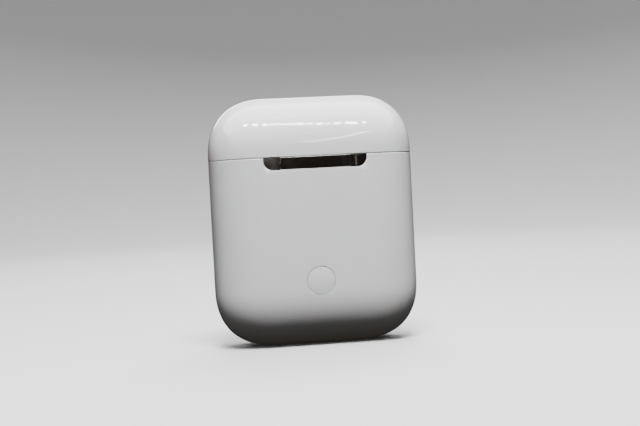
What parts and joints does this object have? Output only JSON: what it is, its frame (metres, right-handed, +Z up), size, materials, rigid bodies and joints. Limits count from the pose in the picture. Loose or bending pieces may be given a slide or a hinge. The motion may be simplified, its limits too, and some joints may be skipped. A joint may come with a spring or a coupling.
{
  "type": "wireless earbuds case",
  "caption": "Pocket charging case with a hinged lid, two lined wells for stemmed earbuds, a charging port below and a setup button behind.",
  "frame": {"origin": "middle of the base on which the closed case stands", "axes": "X runs along the width, with +X to the left of someone facing the hinge, +Y out of the back where the hinge is, +Z up; the lid opens at the front, -Y"},
  "size_m": [0.0444, 0.0212, 0.0535],
  "materials": {
    "white_shell": "polished, glossy white",
    "white_button": "polished, glossy white, flush with the shell",
    "white_liner": "satin white",
    "hinge_steel": "mirror-polished stainless steel",
    "screw_steel": "plain steel",
    "battery_wrap": "dark film wrap",
    "black_plastic": "matt black",
    "grey_plastic": "matt dark grey",
    "flex_film": "amber film",
    "board_green": "solder mask",
    "sheet_metal": "bright sheet metal",
    "light_window": "milky translucent",
    "led_body": "white package",
    "magnet_nickel": "nickel plated",
    "port_steel": "polished steel",
    "gold_contact": "gold plated"
  },
  "bodies": {
    "case_body": {"body_shell": "white_shell", "inner_frame": "white_liner", "hinge_bracket": "hinge_steel", "hinge_pin": "hinge_steel", "hinge_bracket_screws": "screw_steel", "board_screws": "screw_steel", "port_screws": "screw_steel", "battery": "battery_wrap", "battery_tape": "black_plastic", "battery_lead": "flex_film", "led_flex": "flex_film", "contact_flex": "flex_film", "port_flex": "flex_film", "main_board": "board_green", "board_chips": "black_plastic", "board_shield": "sheet_metal", "setup_switch": "black_plastic", "button_retainer": "sheet_metal", "light_pipe": "light_window", "status_led": "led_body", "lid_sensor": "black_plastic", "deck_magnets": "magnet_nickel", "bud_magnets": "magnet_nickel", "contact_carriers": "grey_plastic", "port_ring": "port_steel", "port_shell": "port_steel", "port_insulator": "black_plastic", "port_contacts": "gold_contact", "port_bracket": "sheet_metal"},
    "lid": {"lid_shell": "white_shell", "lid_liner": "white_liner", "hinge_leaf": "hinge_steel", "hinge_leaf_screws": "screw_steel", "lid_magnets": "magnet_nickel", "lid_sensor_magnet": "magnet_nickel"},
    "setup_button": {"setup_button": "white_button", "switch_plunger": "grey_plastic"},
    "left_pins": {"left_contact_pins": "gold_contact"},
    "right_pins": {"right_contact_pins": "gold_contact"}
  },
  "joints": [
    {"name": "lid_hinge", "type": "hinge", "parent": "case_body", "child": "lid", "pos_m": [0, 0.00955, 0.03904], "axis": [-1, 0, 0], "range_deg": [0, 100]},
    {"name": "setup_press", "type": "slide", "parent": "case_body", "child": "setup_button", "axis": [0, -1, 0], "range_m": [0, 0.00025], "stiffness_N_per_m": 4000, "springref_m": -0.0001},
    {"name": "left_pins_press", "type": "slide", "parent": "case_body", "child": "left_pins", "axis": [0, 0, -1], "range_m": [0, 0.0004], "stiffness_N_per_m": 500, "springref_m": -0.0003},
    {"name": "right_pins_press", "type": "slide", "parent": "case_body", "child": "right_pins", "axis": [0, 0, -1], "range_m": [0, 0.0004], "stiffness_N_per_m": 500, "springref_m": -0.0003}
  ]
}
